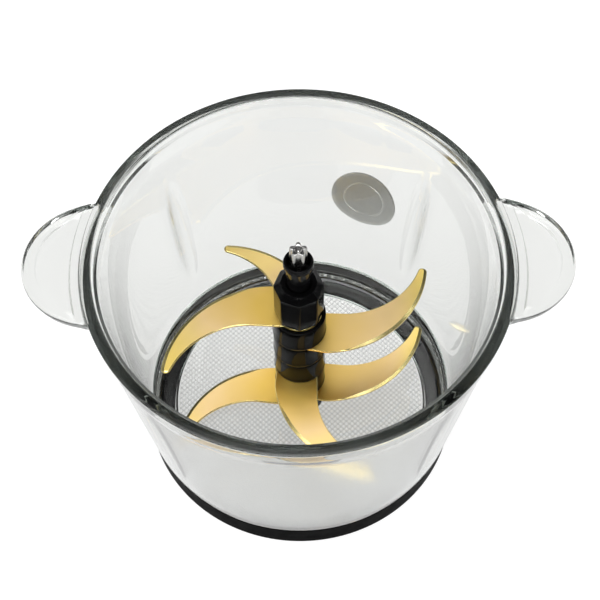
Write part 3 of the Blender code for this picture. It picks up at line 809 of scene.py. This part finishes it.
# ---- spindle and its fittings ------------------------------------------------------------------------
def make_spindle():
    pieces = {}
    pieces["center_pin"] = turned(
        "spindle",
        [
            corner(0.0, 95.4, 0, 0, 1),
            corner(1.7, 95.35, 1.0, 5, 1),
            corner(3.5, 93.4, 1.2, 6, 2),
            corner(3.5, 89.2, 0.1, 1, 1),
            corner(3.2, 89.0, 0.1, 1, 1),
            corner(3.2, 88.2, 0.1, 1, 1),
            corner(3.5, 88.0, 0.1, 1, 8),
            corner(3.5, 10.9, 0.3, 3, 1),
            corner(3.9, 10.45, 0.2, 2, 1),
            corner(6.8, 10.45, 0.35, 4, 1),
            corner(6.8, 8.95, 0.15, 2, 1),
            corner(3.1, 8.95, 0.1, 1, 1),
            corner(3.1, 4.55, 0.2, 2, 1),
            corner(1.95, 4.55, 0, 0, 1),
            corner(1.95, 16.0, 0, 0, 1),
            corner(0.0, 17.1, 0, 0, 1),
        ],
        STEEL,
        steps=96,
        closed=False,
    )

    def washer(node, name, inner, outer, low, high, mat):
        pieces[node] = turned(
            name,
            [
                corner(inner, low, 0.08, 2, 1),
                corner(outer, low, 0.16, 3, 1),
                corner(outer, high, 0.16, 3, 1),
                corner(inner, high, 0.08, 2, 1),
            ],
            mat,
            steps=96,
        )

    washer("pin_gasket_upper", "gasket_upper", 3.45, 6.9, 8.2, 8.75, SEAL)
    washer("pin_gasket_lower", "gasket_lower", 3.45, 8.3, 4.45, 5.2, SEAL)
    washer("pin_washer", "spindle_washer", 2.3, 7.9, 3.5, 4.25, STEEL)

    # screw with a cross recess: the recess is pressed into the head's own grid
    head_top, head_low = 3.3, 1.3
    section = sweep(
        [
            corner(0.0, 13.8, 0, 0, 1),
            corner(1.6, 13.2, 0.5, 3, 4),
            corner(1.6, head_top, 0.1, 1, 1),
            corner(3.75, head_top, 0.15, 3, 1),
            corner(3.85, head_top - 0.8, 0.4, 4, 1),
            corner(3.0, head_low + 0.02, 0.8, 5, 10),
            corner(0.0, head_low, 0, 0, 1),
        ]
    )[:, 0, :]
    steps = 96
    angles = np.arange(steps) * TAU / steps
    verts = []
    for r, z in section:
        for a in angles:
            x, y = r * math.cos(a), r * math.sin(a)
            lift = 0.0
            if z < head_low + 0.2:
                arm = min(
                    max(abs(y) - 0.45, abs(x) - 2.0), max(abs(x) - 0.45, abs(y) - 2.0)
                )
                lift = 1.1 * float(smoothstep(-arm / 0.18 + 0.5))
            verts.append((x, y, z + lift))
    pieces["pin_screw"] = make_object(
        "spindle_screw", verts, grid_faces(len(section), steps), STEEL, sharp=35
    )
    for node, low, high in (("lower_bush", 10.75, 21.7), ("upper_bush", 84.3, 94.6)):
        pieces[node] = turned(
            "bush_" + node.split("_")[0],
            [
                corner(3.8, low, 0.2, 3, 1),
                corner(5.75, low, 0.28, 4, 2),
                corner(5.75, high, 0.28, 4, 1),
                corner(3.8, high, 0.2, 3, 2),
            ],
            BRONZE,
            steps=96,
        )
    return pieces


# ---- hub ---------------------------------------------------------------------------------------------
def make_polygonal(name, corners, material, sides, steps, soft=0.10, sharp=30.0, polygon=None):
    """A turned piece whose plan is a polygon with slightly rounded corners.
    polygon says for each row how much of the polygon it has, from 0 round to 1 full, by its (radius, height)."""
    section = sweep(corners, False)[:, 0, :]
    step = TAU / sides
    base = np.linspace(-0.5, 0.5, steps // sides + 1)[:-1]
    angles = np.concatenate([(k + base) * step for k in range(sides)])
    off = (angles + step / 2) % step - step / 2  # from the nearest corner
    flat = math.cos(step / 2) / np.cos(step / 2 - np.abs(off))
    # round the corners off
    arc = soft
    rounded = np.minimum(flat, 1 - arc * 0.5 * np.cos(np.clip(off / (arc * 2.2), -1, 1) * math.pi / 2) * 0.35)
    verts = []
    for r, z in section:
        share = 1.0 if polygon is None else polygon(r, z)
        for a, p in zip(angles, rounded):
            rr = r * (1 - share + share * p)
            verts.append((rr * math.cos(a), rr * math.sin(a), z))
    return make_object(name, verts, grid_faces(len(section), len(angles)), material, sharp)


def make_hub():
    pieces = {}
    for i, (upper, lower) in enumerate(zip(BLADE_LEVELS, BLADE_LEVELS[1:]), 1):
        high = upper - 0.5 * BLADE_T - 0.06
        low = lower + 0.5 * BLADE_T + 0.06
        r = 11.95 - 0.09 * i
        pieces["spacer_%d" % i] = turned(
            "hub_ring_%d" % i,
            [
                corner(KEY_R, low, 0.15, 2, 1),
                corner(r + 0.1, low, 0.3, 4, 1),
                corner(r + 0.15, low + 1.0, 0.25, 4, 1),
                corner(r, low + 1.25, 0.2, 3, 4),
                corner(r - 0.1, high, 0.45, 5, 1),
                corner(KEY_R, high, 0.15, 2, 2),
            ],
            BLACK,
            steps=160,
            sharp=45,
        )

    def nut_share(r, z):
        return 1.0 if r > 8.35 else float(smoothstep((r - 7.6) / 0.75))

    pieces["clamp_nut"] = make_polygonal(
        "hub_nut",
        [
            corner(5.45, 106.3, 0, 0, 1),
            corner(5.45, 109.0, 0.25, 3, 1),
            corner(7.9, 109.0, 0.35, 4, 3),
            corner(11.0, 106.4, 0.45, 5, 4),
            corner(11.0, 86.35, 0.55, 5, 1),
            corner(8.6, 86.35, 0.1, 2, 1),
            corner(8.3, 86.6, 0.1, 2, 2),
            corner(8.3, 106.3, 0.1, 2, 1),
            corner(5.45, 106.3, 0, 0, 1),
        ],
        SATIN,
        8,
        160,
        polygon=nut_share,
        sharp=22,
    )
    pieces["drive_collar"] = turned(
        "drive_cup",
        [
            corner(0, 119.4, 0, 0, 2),
            corner(4.9, 119.4, 0.6, 5, 2),
            corner(5.15, 125.8, 0.25, 4, 1),
            corner(6.1, 125.8, 0.45, 5, 1),
            corner(6.5, 124.6, 0.6, 5, 1),
            corner(6.5, 123.2, 0.25, 4, 1),
            corner(6.0, 122.6, 0.25, 4, 3),
            corner(5.15, 113.0, 2.0, 4, 2),
            corner(5.1, 106.0, 0.1, 1, 1),
            corner(7.9, 106.0, 0.2, 2, 1),
            corner(7.9, 103.5, 0.2, 2, 1),
            corner(6.3, 103.5, 0.1, 1, 1),
            corner(6.0, 96.6, 0.3, 2, 1),
            corner(0, 96.6, 0, 0, 1),
        ],
        SATIN,
        steps=128,
        closed=False,
        sharp=45,
    )
    core = turned(
        "hub_sleeve",
        [
            corner(6.05, 103.2, 0.2, 2, 1),
            corner(7.6, 103.2, 0.4, 3, 2),
            corner(7.75, 86.0, 0.2, 2, 1),
            corner(8.1, 85.9, 0.2, 2, 6),
            corner(8.1, 10.0, 0.1, 1, 1),
            corner(8.6, 9.55, 0.1, 1, 1),
            corner(11.5, 9.55, 0.25, 3, 1),
            corner(11.3, 8.6, 0.25, 3, 1),
            corner(7.5, 8.6, 0.25, 3, 1),
            corner(7.5, 11.4, 0.1, 1, 1),
            corner(6.05, 11.6, 0.1, 1, 1),
            corner(6.05, 22.0, 0.1, 1, 1),
            corner(4.7, 22.0, 0.1, 1, 4),
            corner(4.7, 84.0, 0.1, 1, 1),
            corner(6.05, 84.0, 0.1, 1, 1),
        ],
        BLACK,
        steps=128,
        sharp=35,
    )
    pieces["hub_core"] = core

    # splined tip: five narrow lobes, chamfered at the top, with a centre drilling
    lobes, tip_r, root_r = 5, 3.95, 2.5
    steps = lobes * 32
    angles = np.arange(steps) * TAU / steps
    wave = np.cos(lobes * (angles - math.pi / 2))
    shape = np.sign(wave) * np.abs(wave) ** 0.75
    plan = 0.5 * (tip_r + root_r) + 0.5 * (tip_r - root_r) * shape
    # height, share of the plan, and how round and how wide the row is
    rows = [(119.7, 0.0, 1.0, 0.0)]
    rows += [(z, 1.0, 0.0, 0.0) for z in (119.7, 121.0, 123.0, 125.5, 128.0, 130.5, 133.3)]
    rows += [
        (133.7, 0.975, 0.0, 0.0),
        (134.05, 0.93, 0.0, 0.0),
        (134.22, 0.89, 0.0, 0.0),
        (134.25, 0.85, 0.1, 2.6),
        (134.25, 0.0, 1.0, 1.80),
        (134.18, 0.0, 1.0, 1.66),
        (133.15, 0.0, 1.0, 0.75),
        (133.05, 0.0, 1.0, 0.62),
        (132.3, 0.0, 1.0, 0.58),
        (132.0, 0.0, 1.0, 0.0),
    ]
    verts = []
    for z, share, round_, wide in rows:
        for a, p in zip(angles, plan):
            r = share * p * (1 - round_) + round_ * wide
            verts.append((r * math.cos(a), r * math.sin(a), z))
    pieces["drive_spline"] = make_object(
        "drive_tip", verts, grid_faces(len(rows), steps), SPLINE_STEEL, sharp=38
    )
    return pieces


# ---- blades ------------------------------------------------------------------------------------------
def arc_points(cx, cy, r, start, end, count):
    a = np.radians(np.linspace(start, end, count + 1))
    return np.stack([cx + r * np.cos(a), cy + r * np.sin(a)], 1)


def blade_plan(tip_r, size):
    """The blade's outline once round, with how wide its ground bevel is at each point."""
    ox, oy, orr = (size * v for v in BLADE_OUTER_ARC)
    ix, iy, irr = (size * v for v in BLADE_INNER_ARC)
    tip = meeting(ox, oy, orr - tip_r, ix, iy, irr + tip_r, -1)
    outer_end = math.degrees(math.atan2(tip[1] - oy, tip[0] - ox))
    inner_end = math.degrees(math.atan2(tip[1] - iy, tip[0] - ix))
    convex = arc_points(ox, oy, orr, -90, outer_end, 60)
    cap = arc_points(tip[0], tip[1], tip_r, outer_end, inner_end + 180, 14)[1:-1]
    concave = arc_points(ix, iy, irr, inner_end, -90, 50)
    root_y = iy - irr + 0.4
    root = math.degrees(math.asin(root_y / BLADE_EYE_R))
    # a small fillet where the concave edge meets the eye
    eye = arc_points(0, 0, BLADE_EYE_R, root + 4, 270, 70)
    points = np.vstack([convex, cap, concave, eye[:-1]])
    t = np.linspace(0, 1, len(convex))
    bevel = list(1.25 * smoothstep((t - 0.10) / 0.18) + 0.16)
    bevel += [1.25 + 0.16 - 1.1 * s for s in np.linspace(0, 1, len(cap))]
    bevel += [0.3] * len(concave)
    bevel += [0.16] * (len(eye) - 1)
    return points, np.array(bevel)


def make_blade(number, z, turn, tip_r, size, off):
    points, bevel = blade_plan(tip_r, size)
    count = len(points)
    ahead = np.roll(points, -1, 0) - np.roll(points, 1, 0)
    ahead /= np.linalg.norm(ahead, axis=1, keepdims=True)
    inward = np.stack([-ahead[:, 1], ahead[:, 0]], 1)
    half = 0.5 * BLADE_T
    drop = np.clip(bevel * 0.36, 0.10, 0.5)
    # smooth the widths once, so that the bevel starts and ends softly
    for _ in range(3):
        bevel = 0.25 * np.roll(bevel, 1) + 0.5 * bevel + 0.25 * np.roll(bevel, -1)
        drop = 0.25 * np.roll(drop, 1) + 0.5 * drop + 0.25 * np.roll(drop, -1)

    def loop(inset, height):
        flat = points + inward * np.reshape(inset, (-1, 1))
        return np.column_stack([flat, np.broadcast_to(height, (count,))])

    key = [
        (
            KEY_R * math.cos(TAU * k / 8 - math.radians(off)),
            KEY_R * math.sin(TAU * k / 8 - math.radians(off)),
        )
        for k in range(8)
    ]
    rings = [
        loop(bevel, half),
        loop(0.08, half - drop),
        loop(0.0, half - drop - 0.09),
        loop(0.0, -half + 0.12),
        loop(0.12, -half),
    ]
    verts = np.vstack(rings).tolist()
    faces = []
    for k in range(len(rings) - 1):
        a, b = k * count, (k + 1) * count
        for j in range(count):
            m = (j + 1) % count
            faces.append((a + j, b + j, b + m, a + m))
    side_faces = len(faces)
    top_key = len(verts)
    verts += [(x, y, half) for x, y in key]
    low_key = len(verts)
    verts += [(x, y, -half) for x, y in key]
    for k in range(8):
        m = (k + 1) % 8
        faces.append((top_key + k, top_key + m, low_key + m, low_key + k))

    def fill(first, key_first, flip):
        flat = [Vector(v[:2]) for v in verts[first : first + count]]
        flat += [Vector(v[:2]) for v in verts[key_first : key_first + 8]]
        edges = [(j, (j + 1) % count) for j in range(count)]
        edges += [(count + k, count + (k + 1) % 8) for k in range(8)]
        _, _, tris, source, _, _ = delaunay_2d_cdt(flat, edges, [], 1, 1e-7)
        for tri in tris:
            ids = [source[v][0] for v in tri]
            if all(v >= count for v in ids):
                continue
            real = [first + v if v < count else key_first + v - count for v in ids]
            faces.append(tuple(reversed(real)) if flip else tuple(real))

    fill(0, top_key, False)
    fill((len(rings) - 1) * count, low_key, True)
    matrix = Matrix.Translation(Vector((0, 0, z))) @ Matrix.Rotation(
        math.radians(turn + off), 4, "Z"
    )
    placed = [tuple(matrix @ Vector(v)) for v in verts]
    obj = make_object("chopping_blade_%d" % number, placed, faces, GOLD, sharp=12)
    obj.data.materials.append(EDGE)
    # the ground strip is what slopes on the upper side
    for face in obj.data.polygons:
        if 0.2 < face.normal.z < 0.985:
            face.material_index = 1
    return obj


# ---- build everything --------------------------------------------------------------------------------
def place(piece, node, body, slot):
    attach(piece, body)
    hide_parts(node)


place(make_bowl(), "glass_bowl", "bowl", "glass")
place(make_ring(), "base_ring", "bowl", "silicone")
place(make_badge(), "wall_badge", "bowl", "badge")
slots = {
    "center_pin": ("bowl", "steel"),
    "pin_gasket_upper": ("bowl", "seal"),
    "pin_gasket_lower": ("bowl", "seal"),
    "pin_washer": ("bowl", "steel"),
    "pin_screw": ("bowl", "steel"),
    "lower_bush": ("bearings", "bronze"),
    "upper_bush": ("bearings", "bronze"),
}
for node, piece in make_spindle().items():
    place(piece, node, *slots[node])
for node, piece in make_hub().items():
    place(piece, node, "blade_set", "steel" if node == "drive_spline" else "black_plastic")
for number, spec in enumerate(
    zip(BLADE_LEVELS, BLADE_DIRECTIONS, BLADE_TIP_R, BLADE_SIZES, BLADE_TURNS), 1
):
    place(make_blade(number, *spec), "blade_%d" % number, "blade_set", "gold_steel")


# ---- studio ------------------------------------------------------------------------------------------
def make_floor():
    size, parts = 4.0, 24
    axis = np.linspace(-size, size, parts + 1)
    verts = [(x, y, 0.0) for x in axis for y in axis]
    faces = []
    for i in range(parts):
        for j in range(parts):
            a = i * (parts + 1) + j
            faces.append((a, a + parts + 1, a + parts + 2, a + 1))
    mesh = bpy.data.meshes.new("studio_floor")
    mesh.from_pydata(verts, [], faces)
    obj = bpy.data.objects.new("studio_floor", mesh)
    bpy.context.scene.collection.objects.link(obj)
    n = Nodes("pale_floor_painted_shadow")
    n.set(Roughness=0.8, Base_Color=(0.34, 0.34, 0.34, 1.0), Specular_IOR_Level=0.0)
    n.set(Emission_Color=(1.0, 1.0, 1.0, 1.0))
    spot = n.add("ShaderNodeTexCoord").outputs["Object"]
    radius = n.add("ShaderNodeVectorMath", operation="LENGTH")
    n.link(spot, radius.inputs[0])
    # painted shadow: the floor's glow dips inside about 60 to 75 mm from the middle, under the bowl
    past_painted_shadow = n.add("ShaderNodeMapRange", interpolation_type="SMOOTHSTEP")
    past_painted_shadow.inputs["From Min"].default_value = 0.060
    past_painted_shadow.inputs["From Max"].default_value = 0.075
    n.link(radius.outputs["Value"], past_painted_shadow.inputs["Value"])
    # painted shadow: under the bowl the floor glows less, darkest at the front and brighter towards the back, as if
    # the light came in from the back
    parts = n.add("ShaderNodeSeparateXYZ")
    n.link(spot, parts.inputs["Vector"])
    below = n.remap(parts.outputs["Y"], 0.50, 0.90, -0.060, 0.050)
    glow = n.add("ShaderNodeMix", data_type="FLOAT")
    n.link(past_painted_shadow.outputs["Result"], glow.inputs["Factor"])
    low, high = (v for v in glow.inputs if v.type == "VALUE" and v.name != "Factor")
    n.link(below, low)
    high.default_value = 0.89
    n.link(
        next(v for v in glow.outputs if v.type == "VALUE"), n.shader.inputs["Emission Strength"]
    )
    mesh.materials.append(n.material)
    return obj


make_floor()


def make_world():
    """A pale room down low, dark higher up, and one broad soft light high at the back."""
    world = bpy.data.worlds.new("studio")
    bpy.context.scene.world = world
    world.use_nodes = True
    tree = world.node_tree
    tree.nodes.clear()

    def add(kind, *sources, **values):
        node = tree.nodes.new(kind)
        for key, value in values.items():
            setattr(node, key, value)
        for slot, source in enumerate(sources):
            if isinstance(source, bpy.types.NodeSocket):
                tree.links.new(source, node.inputs[slot])
            elif source is not None:
                node.inputs[slot].default_value = source
        return node

    where = add("ShaderNodeTexCoord").outputs["Generated"]
    height = add("ShaderNodeSeparateXYZ", where).outputs["Z"]

    def lamp(direction, low, high, level):
        aim = Vector(direction).normalized()
        dot = add("ShaderNodeVectorMath", where, tuple(aim), operation="DOT_PRODUCT")
        m = add("ShaderNodeMapRange", dot.outputs["Value"], low, high, 0.0, level)
        m.interpolation_type = "SMOOTHSTEP"
        return m.outputs["Result"]

    pale = add("ShaderNodeMapRange", height, 0.16, 0.34, 0.985, DARK)
    pale.interpolation_type = "SMOOTHSTEP"
    total = pale.outputs["Result"]
    for spec in LAMPS:
        total = add("ShaderNodeMath", total, lamp(*spec), operation="MAXIMUM").outputs[0]
    glow = add("ShaderNodeBackground", total, 1.0)
    end = tree.nodes.new("ShaderNodeOutputWorld")
    tree.links.new(glow.outputs["Background"], end.inputs["Surface"])


DARK = 0.06
LAMPS = [
    ((-0.08, 0.0, 0.997), 0.875, 0.975, 4.3),
]
make_world()


def area(name, at, aim, width, height, power, colour=(1, 1, 1)):
    light = bpy.data.lights.new(name, "AREA")
    light.shape = "RECTANGLE"
    light.size, light.size_y = width, height
    light.energy = power
    light.color = colour
    obj = bpy.data.objects.new(name, light)
    obj.location = at
    obj.rotation_euler = (Vector(aim) - Vector(at)).to_track_quat("-Z", "Y").to_euler()
    bpy.context.scene.collection.objects.link(obj)
    return obj


area("soft_front", (0.0, -1.30, 0.78), (0, 0, 0.09), 1.5, 0.13, 7.0)

# ---- camera ------------------------------------------------------------------------------------------
tilt = math.radians(58.32)
lens = bpy.data.cameras.new("camera")
lens.sensor_width = 36.0
lens.lens = 1388.3 / 600.0 * 36.0
lens.clip_start, lens.clip_end = 0.01, 20.0
camera = bpy.data.objects.new("camera", lens)
camera.matrix_world = (
    Matrix.Translation(
        Vector((0.463, -600.0 * math.cos(tilt), 94.78 + 600.0 * math.sin(tilt))) * MM
    )
    @ Matrix.Rotation(math.pi / 2 - tilt, 4, "X")
    @ Matrix.Rotation(-0.01292, 4, "Z")
)
bpy.context.scene.collection.objects.link(camera)
bpy.context.scene.camera = camera

scene = bpy.context.scene
scene.view_settings.view_transform = "Standard"
scene.view_settings.look = "None"
scene.cycles.max_bounces = 24
scene.cycles.transmission_bounces = 20
scene.cycles.glossy_bounces = 12
